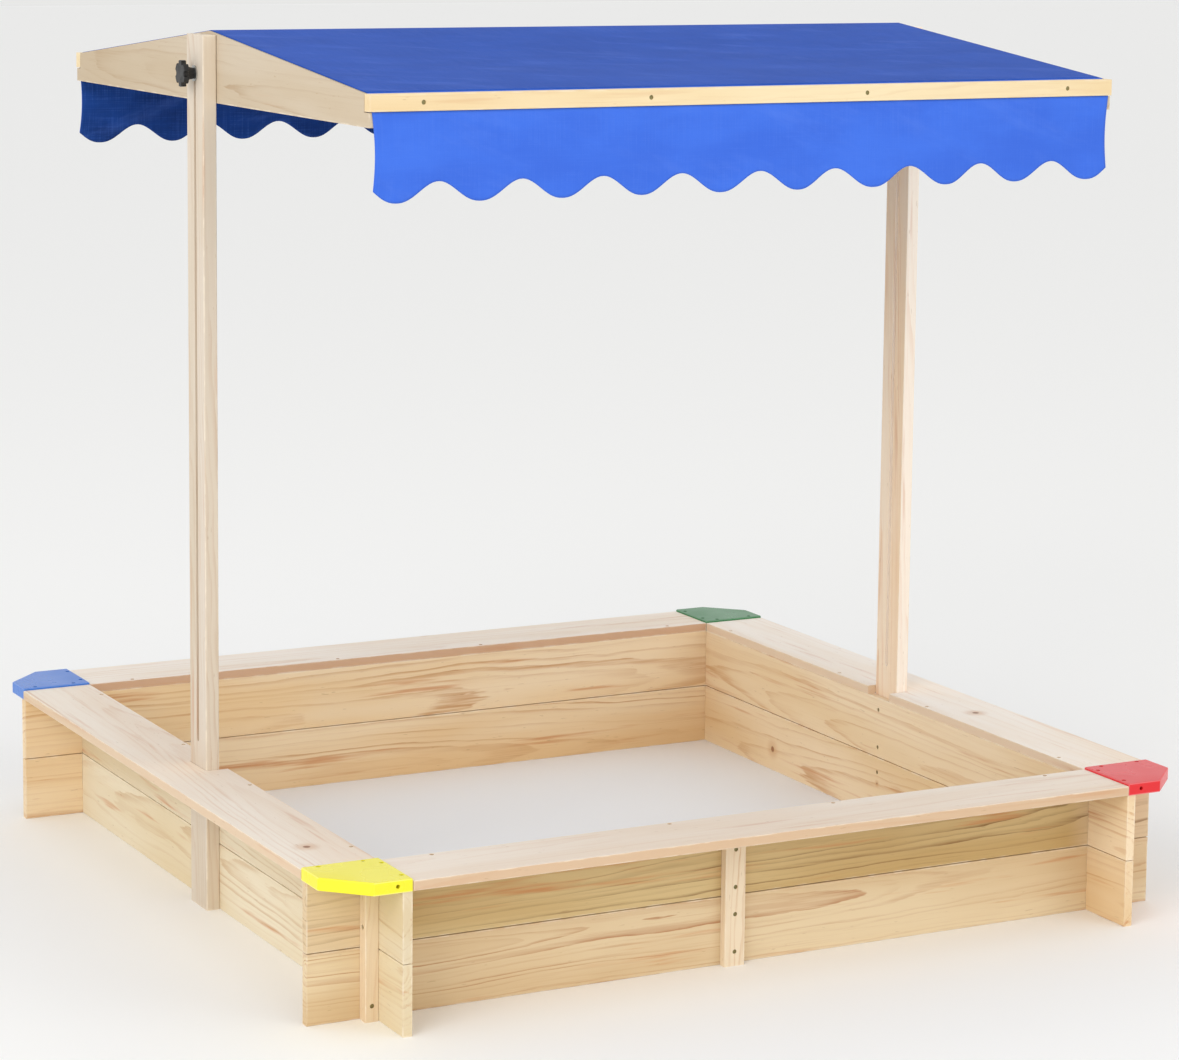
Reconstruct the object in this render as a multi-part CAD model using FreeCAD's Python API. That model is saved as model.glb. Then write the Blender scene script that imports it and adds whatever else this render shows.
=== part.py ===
import FreeCAD, Part
import math
import os

# Square timber sandbox with crossed wall boards, four seat boards, painted corner pieces,
# two slotted posts and a fabric gable canopy that slides and tilts between them.
# Millimetres. +X runs along the front wall, +Y towards the back, +Z up.
# The origin is the middle of the footprint, on the ground.

# ---- walls -----------------------------------------------------------------------------------
WALL_LENGTH_X = 1180.0        # front and back boards, end to end
WALL_LENGTH_Y = 1180.0        # left and right boards, end to end
WALL_OVERRUN = 83.0           # length of board past the outer face of the wall it crosses
BOARD_THICKNESS = 12.0
BOARD_HEIGHT = 85.0
BOARD_GAP = 1.0               # between the lower and the upper board of a wall
NOTCH_CLEARANCE = 0.3         # each side of a crossing board in its half-lap notch
BOARD_ROUND = 1.0             # eased long edges

# ---- seats and corner pieces -------------------------------------------------------------------
SEAT_WIDTH = 97.0
SEAT_THICKNESS = 12.0
SEAT_END_GAP = 0.4            # between a seat's end and the corner piece
CORNER_THICKNESS = 15.0
CORNER_FLAT = 48.0            # what is left of each outer edge after the corner is cut off
CORNER_ROUND = 1.8
CORNER_HOLE_DIAMETER = 5.0
CORNER_HOLE_DEPTH = 12.0
CORNER_HOLE_INSET = 19.0      # from the seat joint, along the edge

# ---- battens -----------------------------------------------------------------------------------
CORNER_BATTEN = 17.0          # square section
CENTRE_BATTEN_WIDTH = 28.0
CENTRE_BATTEN_THICKNESS = 12.0
CENTRE_BATTEN_OFFSET = 32.0   # off the middle, to the left as seen from outside
BATTEN_ROUND = 1.2

# ---- posts -------------------------------------------------------------------------------------
POST_WIDTH = 55.0
POST_THICKNESS = 18.0
POST_TOP_DROP = 4.0           # post top below the canopy's apex
POST_ROUND = 1.5
SEAT_NOTCH_CLEARANCE = 0.5    # each side of a post in its seat notch

# ---- canopy frame ------------------------------------------------------------------------------
PIVOT_HEIGHT = 1064.0         # clamping bolts above the ground, canopy raised
CANOPY_SIDE_CLEARANCE = 0.5   # between a gable and its post
GABLE_THICKNESS = 12.0
GABLE_HALF_LENGTH = 490.0
GABLE_BOTTOM_DROP = 36.0      # bottom edge below the pivot
GABLE_END_HEIGHT = 38.0
GABLE_APEX_HEIGHT = 88.0
RAIL_HEIGHT = 20.0
RAIL_THICKNESS = 15.0
RAIL_PROUD = 3.0              # rail face past the gable's end
BEAM_DEPTH = 20.0             # inner beam behind each rail
RIDGE_WIDTH = 18.0
RIDGE_HEIGHT = 32.0
DOWEL_DIAMETER = 6.0
DOWEL_LENGTH = 30.0
DOWEL_IN_GABLE = 9.0
RAIL_ROUND = 1.0

# ---- canopy fabric -----------------------------------------------------------------------------
FABRIC_THICKNESS = 1.0
FABRIC_GAP = 0.1              # fabric to the timber on each side of it
FABRIC_SIDE_INSET = 3.5       # fabric edge inside the gable's outer face
VALANCE_DROP = 104.0          # rail's bottom edge to the lowest point of a scallop
SCALLOP_PITCH = 105.0
SCALLOP_HEIGHT = 24.0

# ---- clamping bolts, washers and knobs ---------------------------------------------------------
BOLT_DIAMETER = 6.0
BOLT_RUNNING_CLEARANCE = 0.05  # radial, gable and knob on the bolt
SLOT_CLEARANCE = 0.5           # radial, bolt in the post's slot
BOLT_HEAD_DIAMETER = 16.0
BOLT_HEAD_HEIGHT = 4.0
WASHER_DIAMETER = 20.0
WASHER_THICKNESS = 1.5
WASHER_CLEARANCE = 0.3
STACK_GAP = 0.1                # between the faces of the clamped stack
KNOB_HEAD_DIAMETER = 33.0
KNOB_HEAD_THICKNESS = 7.0
KNOB_HUB_LENGTH = 11.0
KNOB_HUB_FRONT_DIAMETER = 18.0
KNOB_HUB_BACK_DIAMETER = 13.5
KNOB_LOBES = 6
KNOB_FLUTE_DIAMETER = 7.5
KNOB_ROUND = 1.0
INSERT_WALL = 1.5              # of the threaded insert, outside the bolt
INSERT_LENGTH = 13.0

# ---- screws ------------------------------------------------------------------------------------
SCREW_SHANK = 3.0
SCREW_HEAD = 5.6
SCREW_SINK = 1.2               # head below the surface
SCREW_HEAD_HEIGHT = 2.0
SEAT_SCREW_LENGTH = 34.0
SEAT_SCREW_PLACES = (115.0, 430.0)
CORNER_SCREW_NEAR = 22.0       # from the inner corner, along a wall
CORNER_SCREW_FAR = 78.0
CORNER_BATTEN_SCREW_LENGTH = 25.0
CORNER_BATTEN_SCREW_HEIGHTS = (19.0, 112.0)
CENTRE_BATTEN_SCREW_LENGTH = 20.0
CENTRE_BATTEN_SCREW_HEIGHTS = (18.0, 65.0, 99.0, 146.0)
POST_SCREW_LENGTH = 24.0
POST_SCREW_HEIGHTS = (18.0, 64.0, 100.0, 154.0)
RAIL_SCREW_LENGTH = 30.0
RAIL_SCREW_PLACES = (148.0, 440.0)

# ---- modelling ---------------------------------------------------------------------------------
CUT_MARGIN = 1.0               # how far a cutting shape runs past the face it cuts
SAME_PLACE = 1e-6              # lengths nearer than this are equal

# ---- worked out from the above -------------------------------------------------------------------
OUTER_X = WALL_LENGTH_X / 2 - WALL_OVERRUN          # outer faces of the left and right walls
OUTER_Y = WALL_LENGTH_Y / 2 - WALL_OVERRUN          # outer faces of the front and back walls
INNER_X = OUTER_X - BOARD_THICKNESS
INNER_Y = OUTER_Y - BOARD_THICKNESS
MIDDLE_X = OUTER_X - BOARD_THICKNESS / 2
MIDDLE_Y = OUTER_Y - BOARD_THICKNESS / 2
WALL_TOP = 2 * BOARD_HEIGHT + BOARD_GAP
SEAT_TOP = WALL_TOP + SEAT_THICKNESS
CORNER_TOP = WALL_TOP + CORNER_THICKNESS

POST_INNER_X = OUTER_X
POST_OUTER_X = OUTER_X + POST_THICKNESS

GABLE_BOTTOM = PIVOT_HEIGHT - GABLE_BOTTOM_DROP
GABLE_END_TOP = GABLE_BOTTOM + GABLE_END_HEIGHT
APEX = GABLE_BOTTOM + GABLE_APEX_HEIGHT
POST_TOP = APEX - POST_TOP_DROP
GABLE_OUTER_X = POST_INNER_X - CANOPY_SIDE_CLEARANCE
GABLE_INNER_X = GABLE_OUTER_X - GABLE_THICKNESS
RAIL_FRONT_Y = GABLE_HALF_LENGTH + RAIL_PROUD
RAIL_BACK_Y = RAIL_FRONT_Y - RAIL_THICKNESS
FABRIC_SLOT = FABRIC_THICKNESS + 2 * FABRIC_GAP
NOTCH_BACK_Y = RAIL_BACK_Y - FABRIC_SLOT            # gable and beam face behind the rail
RAIL_TOP = GABLE_END_TOP
RAIL_BOTTOM = RAIL_TOP - RAIL_HEIGHT
NOTCH_FLOOR = RAIL_BOTTOM - FABRIC_SLOT
ROOF_SLOPE = (APEX - GABLE_END_TOP) / NOTCH_BACK_Y

SLOT_RADIUS = BOLT_DIAMETER / 2 + SLOT_CLEARANCE
SLOT_LOW = SEAT_TOP + GABLE_BOTTOM_DROP             # pivot height with the gables down on the seats
WASHER_INNER_X = POST_OUTER_X + STACK_GAP
KNOB_BACK_X = WASHER_INNER_X + WASHER_THICKNESS + STACK_GAP
KNOB_HEAD_X = KNOB_BACK_X + KNOB_HUB_LENGTH

X_AXIS = FreeCAD.Vector(1, 0, 0)
Y_AXIS = FreeCAD.Vector(0, 1, 0)
Z_AXIS = FreeCAD.Vector(0, 0, 1)

parts = {}


# ---- shape helpers -------------------------------------------------------------------------------
def vec(x, y, z):
    return FreeCAD.Vector(x, y, z)


def box(low, high):
    """Box between two corners, given in any order."""
    start = [min(a, b) for a, b in zip(low, high)]
    size = [abs(a - b) for a, b in zip(low, high)]
    return Part.makeBox(size[0], size[1], size[2], vec(*start))


def edges_along(shape, axis):
    """Straight edges of a shape that run along an axis."""
    found = []
    for edge in shape.Edges:
        if len(edge.Vertexes) != 2:
            continue
        run = edge.Vertexes[1].Point - edge.Vertexes[0].Point
        if run.Length > 0 and abs(abs(run.dot(axis)) - run.Length) < SAME_PLACE:
            found.append(edge)
    return found


def board(low, high, axis, radius):
    """Box whose long edges, along an axis, are rounded over."""
    plank = box(low, high)
    return plank.makeFillet(radius, edges_along(plank, axis))


def cylinder(radius, length, start, direction):
    return Part.makeCylinder(radius, length, start, direction)


def cut_all(shape, tools):
    for tool in tools:
        shape = shape.cut(tool)
    return shape


def group(shapes):
    """Separate solids that share one node."""
    return Part.makeCompound(shapes)


def polygon_prism(points, run):
    """Prism on a closed polygon of 3-D points."""
    loop = Part.makePolygon([vec(*p) for p in points] + [vec(*points[0])])
    return Part.Face(loop).extrude(run)


# ---- screws --------------------------------------------------------------------------------------
def screw(start, direction, length):
    """Countersunk screw whose head is sunk under the surface at start."""
    direction = vec(*direction)
    head_top = start + direction * SCREW_SINK
    shank_top = head_top + direction * SCREW_HEAD_HEIGHT
    head = Part.makeCone(SCREW_HEAD / 2, SCREW_SHANK / 2, SCREW_HEAD_HEIGHT, head_top, direction)
    shank = cylinder(SCREW_SHANK / 2, length - SCREW_HEAD_HEIGHT, shank_top, direction)
    return head.fuse(shank).removeSplitter()


def screw_seat(start, direction, length):
    """Hole that a screw leaves: the screw's own shape and the open recess above its head."""
    recess = cylinder(SCREW_HEAD / 2, SCREW_SINK, start, vec(*direction))
    return screw(start, direction, length).fuse(recess).removeSplitter()


class ScrewSet:
    """Screws of one kind, and the holes they leave in the timber."""

    def __init__(self, length):
        self.length = length
        self.screws = []
        self.seats = []

    def add(self, x, y, z, direction):
        start = vec(x, y, z)
        self.screws.append(screw(start, direction, self.length))
        self.seats.append(screw_seat(start, direction, self.length))


def seat_screw_set():
    """Screws down through the seats into the middle of the wall's top edge."""
    found = ScrewSet(SEAT_SCREW_LENGTH)
    for side in (-1, 1):
        for along in SEAT_SCREW_PLACES:
            for sign in (-1, 1):
                found.add(sign * along, side * MIDDLE_Y, SEAT_TOP, (0, 0, -1))
                found.add(side * MIDDLE_X, sign * along, SEAT_TOP, (0, 0, -1))
    return found


def corner_piece_screw_set():
    """Four screws in each corner piece, into the board ends under it."""
    found = ScrewSet(SEAT_SCREW_LENGTH)
    for sx in (-1, 1):
        for sy in (-1, 1):
            for reach in (CORNER_SCREW_NEAR, CORNER_SCREW_FAR):
                found.add(sx * MIDDLE_X, sy * (INNER_Y + reach), CORNER_TOP, (0, 0, -1))
                found.add(sx * (INNER_X + reach), sy * MIDDLE_Y, CORNER_TOP, (0, 0, -1))
    return found


def corner_batten_screw_set():
    """One screw into each of the two walls that a corner batten stiffens."""
    found = ScrewSet(CORNER_BATTEN_SCREW_LENGTH)
    low, high = CORNER_BATTEN_SCREW_HEIGHTS
    middle = CORNER_BATTEN / 2
    for sx in (-1, 1):
        for sy in (-1, 1):
            found.add(sx * (OUTER_X + middle), sy * (OUTER_Y + CORNER_BATTEN), low, (0, -sy, 0))
            found.add(sx * (OUTER_X + CORNER_BATTEN), sy * (OUTER_Y + middle), high, (-sx, 0, 0))
    return found


def centre_batten_screw_set():
    found = ScrewSet(CENTRE_BATTEN_SCREW_LENGTH)
    face = OUTER_Y + CENTRE_BATTEN_THICKNESS
    for sy in (-1, 1):
        for height in CENTRE_BATTEN_SCREW_HEIGHTS:
            found.add(sy * CENTRE_BATTEN_OFFSET, sy * face, height, (0, -sy, 0))
    return found


def post_screw_set():
    """Screws from inside the box, through the side wall into the post."""
    found = ScrewSet(POST_SCREW_LENGTH)
    for sx in (-1, 1):
        for height in POST_SCREW_HEIGHTS:
            found.add(sx * INNER_X, 0, height, (sx, 0, 0))
    return found


def rail_screw_set():
    """Screws that clamp the fabric between each rail and the beam behind it."""
    found = ScrewSet(RAIL_SCREW_LENGTH)
    height = (RAIL_TOP + RAIL_BOTTOM) / 2
    for sy in (-1, 1):
        for place in RAIL_SCREW_PLACES:
            for sx in (-1, 1):
                found.add(sx * place, sy * RAIL_FRONT_Y, height, (0, -sy, 0))
    return found


# ---- walls ---------------------------------------------------------------------------------------
def wall_levels():
    """Bottom height and name of each board in a wall."""
    return (("lower", 0.0), ("upper", BOARD_HEIGHT + BOARD_GAP))


def front_or_back_board(side, bottom, seats):
    """Board along X, notched from above where the side boards cross it."""
    half = WALL_LENGTH_X / 2
    top = bottom + BOARD_HEIGHT
    middle = bottom + BOARD_HEIGHT / 2
    plank = board((-half, side * INNER_Y, bottom), (half, side * OUTER_Y, top), X_AXIS, BOARD_ROUND)
    notches = []
    for sx in (-1, 1):
        low = (sx * (INNER_X - NOTCH_CLEARANCE), side * (INNER_Y - CUT_MARGIN), middle)
        high = (sx * (OUTER_X + NOTCH_CLEARANCE), side * (OUTER_Y + CUT_MARGIN), top + CUT_MARGIN)
        notches.append(box(low, high))
    return cut_all(plank, notches + seats)


def side_board(side, bottom, seats):
    """Board along Y, notched from below to sit over the front and back boards."""
    half = WALL_LENGTH_Y / 2
    top = bottom + BOARD_HEIGHT
    middle = bottom + BOARD_HEIGHT / 2
    plank = board((side * INNER_X, -half, bottom), (side * OUTER_X, half, top), Y_AXIS, BOARD_ROUND)
    notches = []
    for sy in (-1, 1):
        low = (side * (INNER_X - CUT_MARGIN), sy * (INNER_Y - NOTCH_CLEARANCE), bottom - CUT_MARGIN)
        high = (side * (OUTER_X + CUT_MARGIN), sy * (OUTER_Y + NOTCH_CLEARANCE), middle)
        notches.append(box(low, high))
    return cut_all(plank, notches + seats)


# ---- seats and corner pieces -----------------------------------------------------------------------
def long_seat(side, seats):
    """Seat board on the front or back wall, between two corner pieces."""
    half = INNER_X - SEAT_END_GAP
    low = (-half, side * INNER_Y, WALL_TOP)
    high = (half, side * (INNER_Y + SEAT_WIDTH), SEAT_TOP)
    return cut_all(board(low, high, X_AXIS, BOARD_ROUND), seats)


def side_seat(side, seats):
    """Seat board on a side wall, notched from its inner edge round the post."""
    half = INNER_Y - SEAT_END_GAP
    low = (side * INNER_X, -half, WALL_TOP)
    high = (side * (INNER_X + SEAT_WIDTH), half, SEAT_TOP)
    notch_half = POST_WIDTH / 2 + SEAT_NOTCH_CLEARANCE
    notch_low = (side * (INNER_X - CUT_MARGIN), -notch_half, WALL_TOP - CUT_MARGIN)
    notch_high = (side * (POST_OUTER_X + SEAT_NOTCH_CLEARANCE), notch_half, SEAT_TOP + CUT_MARGIN)
    return cut_all(board(low, high, Y_AXIS, BOARD_ROUND), [box(notch_low, notch_high)] + seats)


def corner_piece(sx, sy, seats):
    """Painted five-sided piece over a crossing, with its outer corner cut off."""
    width = SEAT_WIDTH
    outline = [(0, 0), (width, 0), (width, CORNER_FLAT), (CORNER_FLAT, width), (0, width)]
    points = [(sx * (INNER_X + a), sy * (INNER_Y + b), WALL_TOP) for a, b in outline]
    slab = polygon_prism(points, Z_AXIS * CORNER_THICKNESS)
    top_edges = [e for e in slab.Edges if e.BoundBox.ZMin > CORNER_TOP - SAME_PLACE]
    slab = slab.makeFillet(CORNER_ROUND, top_edges + edges_along(slab, Z_AXIS))
    hole_start = vec(
        sx * (INNER_X + CORNER_HOLE_INSET),
        sy * (INNER_Y + SEAT_WIDTH),
        WALL_TOP + CORNER_THICKNESS / 2,
    )
    hole = cylinder(CORNER_HOLE_DIAMETER / 2, CORNER_HOLE_DEPTH, hole_start, vec(0, -sy, 0))
    return cut_all(slab, [hole] + seats)


# ---- battens and posts -----------------------------------------------------------------------------
def corner_batten(sx, sy, seats):
    """Square batten in the outer nook of a crossing."""
    low = (sx * OUTER_X, sy * OUTER_Y, 0)
    high = (sx * (OUTER_X + CORNER_BATTEN), sy * (OUTER_Y + CORNER_BATTEN), WALL_TOP)
    return cut_all(board(low, high, Z_AXIS, BATTEN_ROUND), seats)


def centre_batten(side, seats):
    """Flat batten that ties the two boards of the front or back wall together."""
    middle = side * CENTRE_BATTEN_OFFSET
    low = (middle - CENTRE_BATTEN_WIDTH / 2, side * OUTER_Y, 0)
    high = (middle + CENTRE_BATTEN_WIDTH / 2, side * (OUTER_Y + CENTRE_BATTEN_THICKNESS), WALL_TOP)
    return cut_all(board(low, high, Z_AXIS, BATTEN_ROUND), seats)


def post(side, seats):
    """Post on the outside of a side wall, with a long slot for the canopy's clamping bolt."""
    low = (side * POST_INNER_X, -POST_WIDTH / 2, 0)
    high = (side * POST_OUTER_X, POST_WIDTH / 2, POST_TOP)
    upright = board(low, high, Z_AXIS, POST_ROUND)
    start_x = side * (POST_INNER_X - CUT_MARGIN)
    reach = vec(side, 0, 0)
    depth = POST_THICKNESS + 2 * CUT_MARGIN
    slot = box(
        (start_x, -SLOT_RADIUS, SLOT_LOW),
        (start_x + side * depth, SLOT_RADIUS, PIVOT_HEIGHT),
    )
    ends = [cylinder(SLOT_RADIUS, depth, vec(start_x, 0, z), reach) for z in (SLOT_LOW, PIVOT_HEIGHT)]
    return cut_all(upright, [slot] + ends + seats)


# ---- canopy frame ----------------------------------------------------------------------------------
def roof_height(y):
    """Height of the sloping top edge at a distance y from the ridge."""
    return APEX - ROOF_SLOPE * abs(y)


def gable(side, dowel_tools):
    """End board of the canopy: low gable, notched at both ends for the rails."""
    half = [
        (NOTCH_BACK_Y, GABLE_END_TOP),
        (NOTCH_BACK_Y, NOTCH_FLOOR),
        (GABLE_HALF_LENGTH, NOTCH_FLOOR),
        (GABLE_HALF_LENGTH, GABLE_BOTTOM),
    ]
    profile = [(0, APEX)] + half + [(-y, z) for y, z in reversed(half)]
    points = [(side * GABLE_INNER_X, y, z) for y, z in profile]
    plank = polygon_prism(points, vec(side * GABLE_THICKNESS, 0, 0))
    bore = cylinder(
        BOLT_DIAMETER / 2 + BOLT_RUNNING_CLEARANCE,
        GABLE_THICKNESS + 2 * CUT_MARGIN,
        vec(side * (GABLE_INNER_X - CUT_MARGIN), 0, PIVOT_HEIGHT),
        vec(side, 0, 0),
    )
    return cut_all(plank, [bore] + dowel_tools)


def rail(side, seats):
    """Outer strip along an eave."""
    low = (-GABLE_OUTER_X, side * RAIL_BACK_Y, RAIL_BOTTOM)
    high = (GABLE_OUTER_X, side * RAIL_FRONT_Y, RAIL_TOP)
    return cut_all(board(low, high, X_AXIS, RAIL_ROUND), seats)


def eave_beam(side, tools):
    """Beam between the gables, behind a rail, with its top planed to the roof's slope."""
    inner = NOTCH_BACK_Y - BEAM_DEPTH
    profile = [
        (NOTCH_BACK_Y, RAIL_BOTTOM),
        (NOTCH_BACK_Y, roof_height(NOTCH_BACK_Y)),
        (inner, roof_height(inner)),
        (inner, RAIL_BOTTOM),
    ]
    points = [(-GABLE_INNER_X, side * y, z) for y, z in profile]
    return cut_all(polygon_prism(points, vec(2 * GABLE_INNER_X, 0, 0)), tools)


def ridge_beam(tools):
    """Beam between the gables under the ridge, with both top faces on the roof's slope."""
    half = RIDGE_WIDTH / 2
    bottom = APEX - RIDGE_HEIGHT
    profile = [
        (0, APEX),
        (half, roof_height(half)),
        (half, bottom),
        (-half, bottom),
        (-half, roof_height(half)),
    ]
    points = [(-GABLE_INNER_X, y, z) for y, z in profile]
    return cut_all(polygon_prism(points, vec(2 * GABLE_INNER_X, 0, 0)), tools)


def frame_dowels():
    """Dowels that join each beam end to its gable."""
    beam_y = NOTCH_BACK_Y - BEAM_DEPTH / 2
    beam_z = (RAIL_BOTTOM + GABLE_END_TOP) / 2
    ridge_z = APEX - RIDGE_HEIGHT / 2
    start = GABLE_INNER_X + DOWEL_IN_GABLE
    found = []
    for sx in (-1, 1):
        for y, z in ((-beam_y, beam_z), (0, ridge_z), (beam_y, beam_z)):
            end = vec(sx * start, y, z)
            found.append(cylinder(DOWEL_DIAMETER / 2, DOWEL_LENGTH, end, vec(-sx, 0, 0)))
    return found


# ---- canopy fabric ---------------------------------------------------------------------------------
def strip_outline(path, thickness):
    """Closed outline of a strip of even thickness on an open path, with mitred corners."""
    normals = []
    for (y0, z0), (y1, z1) in zip(path, path[1:]):
        run = math.hypot(y1 - y0, z1 - z0)
        normals.append(((z1 - z0) / run, -(y1 - y0) / run))
    joints = [normals[0]]
    for (a0, b0), (a1, b1) in zip(normals, normals[1:]):
        scale = 1 + a0 * a1 + b0 * b1
        joints.append(((a0 + a1) / scale, (b0 + b1) / scale))
    joints.append(normals[-1])
    half = thickness / 2
    outer = [(y + half * a, z + half * b) for (y, z), (a, b) in zip(path, joints)]
    inner = [(y - half * a, z - half * b) for (y, z), (a, b) in zip(path, joints)]
    return outer + inner[::-1]


def fabric_path():
    """Middle line of the fabric from the ridge to the lowest point of one valance."""
    lift = FABRIC_GAP + FABRIC_THICKNESS / 2
    behind_rail = NOTCH_BACK_Y + lift
    under_rail = RAIL_BOTTOM - lift
    hang = GABLE_HALF_LENGTH + lift
    return [
        (0, APEX + lift),
        (behind_rail, roof_height(behind_rail) + lift),
        (behind_rail, under_rail),
        (hang, under_rail),
        (hang, RAIL_BOTTOM - VALANCE_DROP),
    ]


def scallop_cutter(half_width):
    """Everything below the scalloped hem: tangent arcs, one for each half wave."""
    quarter = SCALLOP_PITCH / 4
    low = RAIL_BOTTOM - VALANCE_DROP
    mean = low + SCALLOP_HEIGHT / 2
    far = RAIL_FRONT_Y + CUT_MARGIN
    waves = math.ceil(half_width / SCALLOP_PITCH) + 1
    edges = []
    start = -waves * SCALLOP_PITCH + quarter
    for index in range(4 * waves - 1):
        left = start + index * 2 * quarter
        middle = low if index % 2 == 0 else low + SCALLOP_HEIGHT
        edges.append(Part.Arc(
            vec(left, -far, mean),
            vec(left + quarter, -far, middle),
            vec(left + 2 * quarter, -far, mean),
        ).toShape())
    end = start + (4 * waves - 1) * 2 * quarter
    floor = low - SCALLOP_HEIGHT
    corners = [vec(end, -far, mean), vec(end, -far, floor), vec(start, -far, floor), vec(start, -far, mean)]
    edges += [Part.LineSegment(a, b).toShape() for a, b in zip(corners, corners[1:])]
    return Part.Face(Part.Wire(edges)).extrude(Y_AXIS * (2 * far))


def canopy_fabric(seats):
    """One sheet over the ridge, tucked behind both rails and hanging as two scalloped valances."""
    half = fabric_path()
    path = [(-y, z) for y, z in reversed(half)] + half[1:]
    outline = strip_outline(path, FABRIC_THICKNESS)
    half_width = GABLE_OUTER_X - FABRIC_SIDE_INSET
    points = [(-half_width, y, z) for y, z in outline]
    sheet = polygon_prism(points, vec(2 * half_width, 0, 0))
    return cut_all(sheet, [scallop_cutter(half_width)] + seats)


# ---- clamping bolts, washers and knobs ---------------------------------------------------------------
def clamping_bolt(side):
    """Round-headed bolt through gable and post, head inside the canopy."""
    radius = BOLT_DIAMETER / 2
    start = vec(side * (GABLE_INNER_X - STACK_GAP), 0, PIVOT_HEIGHT)
    length = KNOB_HEAD_X - GABLE_INNER_X + STACK_GAP
    shank = cylinder(radius, length, start, vec(side, 0, 0))
    head_radius = BOLT_HEAD_DIAMETER / 2
    dome_radius = (head_radius ** 2 + BOLT_HEAD_HEIGHT ** 2) / (2 * BOLT_HEAD_HEIGHT)
    centre = start + vec(side * (dome_radius - BOLT_HEAD_HEIGHT), 0, 0)
    dome = Part.makeSphere(dome_radius, centre)
    disc = cylinder(head_radius, BOLT_HEAD_HEIGHT, start, vec(-side, 0, 0))
    return shank.fuse(dome.common(disc)).removeSplitter()


def washer(side):
    start = vec(side * WASHER_INNER_X, 0, PIVOT_HEIGHT)
    reach = vec(side, 0, 0)
    disc = cylinder(WASHER_DIAMETER / 2, WASHER_THICKNESS, start, reach)
    return disc.cut(cylinder(BOLT_DIAMETER / 2 + WASHER_CLEARANCE, WASHER_THICKNESS, start, reach))


def insert_blank(side):
    """Outer shape of the threaded insert in a knob."""
    start = vec(side * KNOB_BACK_X, 0, PIVOT_HEIGHT)
    return cylinder(BOLT_DIAMETER / 2 + INSERT_WALL, INSERT_LENGTH, start, vec(side, 0, 0))


def bolt_bore(side):
    """Running bore for the bolt inside a knob."""
    start = vec(side * KNOB_BACK_X, 0, PIVOT_HEIGHT)
    return cylinder(BOLT_DIAMETER / 2 + BOLT_RUNNING_CLEARANCE, INSERT_LENGTH, start, vec(side, 0, 0))


def knob(side):
    """Star knob: a fluted head on a tapered hub."""
    reach = vec(side, 0, 0)
    head_start = vec(side * KNOB_HEAD_X, 0, PIVOT_HEIGHT)
    head_radius = KNOB_HEAD_DIAMETER / 2
    head = cylinder(head_radius, KNOB_HEAD_THICKNESS, head_start, reach)
    for index in range(KNOB_LOBES):
        angle = 2 * math.pi * index / KNOB_LOBES
        middle = head_start + vec(0, math.cos(angle), math.sin(angle)) * head_radius
        start = middle - reach * CUT_MARGIN
        length = KNOB_HEAD_THICKNESS + 2 * CUT_MARGIN
        head = head.cut(cylinder(KNOB_FLUTE_DIAMETER / 2, length, start, reach))
    rims = [e for e in head.Edges if e.BoundBox.XLength < SAME_PLACE]
    head = head.makeFillet(KNOB_ROUND, rims)
    hub = Part.makeCone(
        KNOB_HUB_BACK_DIAMETER / 2,
        KNOB_HUB_FRONT_DIAMETER / 2,
        KNOB_HUB_LENGTH + KNOB_ROUND,
        vec(side * KNOB_BACK_X, 0, PIVOT_HEIGHT),
        reach,
    )
    return head.fuse(hub).removeSplitter().cut(insert_blank(side))


def knob_insert(side):
    """Threaded metal insert moulded into a knob."""
    return insert_blank(side).cut(bolt_bore(side))


# ---- assembly --------------------------------------------------------------------------------------
def build_box(seat_set, corner_set, corner_batten_set, centre_batten_set, post_set):
    board_tools = []
    for screw_set in (seat_set, corner_set, corner_batten_set, centre_batten_set, post_set):
        board_tools += screw_set.seats
    for side, name in ((-1, "front"), (1, "back")):
        for level, bottom in wall_levels():
            parts[name + "_wall_" + level] = front_or_back_board(side, bottom, board_tools)
        parts[name + "_seat"] = long_seat(side, seat_set.seats)
        parts[name + "_centre_batten"] = centre_batten(side, centre_batten_set.seats)
    for side, name in ((-1, "left"), (1, "right")):
        for level, bottom in wall_levels():
            parts[name + "_wall_" + level] = side_board(side, bottom, board_tools)
        parts[name + "_seat"] = side_seat(side, seat_set.seats)
        parts[name + "_post"] = post(side, post_set.seats)
    corners = (
        (-1, -1, "front_left", "yellow"),
        (1, -1, "front_right", "red"),
        (1, 1, "back_right", "green"),
        (-1, 1, "back_left", "blue"),
    )
    for sx, sy, place, colour in corners:
        parts[place + "_batten"] = corner_batten(sx, sy, corner_batten_set.seats)
        parts[colour + "_corner_piece"] = corner_piece(sx, sy, corner_set.seats)
    parts["seat_screws"] = group(seat_set.screws)
    parts["corner_piece_screws"] = group(corner_set.screws)
    parts["corner_batten_screws"] = group(corner_batten_set.screws)
    parts["centre_batten_screws"] = group(centre_batten_set.screws)
    parts["post_screws"] = group(post_set.screws)


def build_canopy(rail_set):
    dowels = frame_dowels()
    for side, name in ((-1, "left"), (1, "right")):
        parts[name + "_gable"] = gable(side, dowels)
        parts[name + "_bolt"] = clamping_bolt(side)
        parts[name + "_washer"] = washer(side)
        parts[name + "_knob"] = knob(side)
        parts[name + "_knob_insert"] = knob_insert(side)
    for side, name in ((-1, "front"), (1, "back")):
        parts[name + "_rail"] = rail(side, rail_set.seats)
        parts[name + "_eave_beam"] = eave_beam(side, rail_set.seats + dowels)
    parts["ridge_beam"] = ridge_beam(dowels)
    parts["frame_dowels"] = group(dowels)
    parts["canopy_fabric"] = canopy_fabric(rail_set.seats)
    parts["rail_screws"] = group(rail_set.screws)


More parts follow.
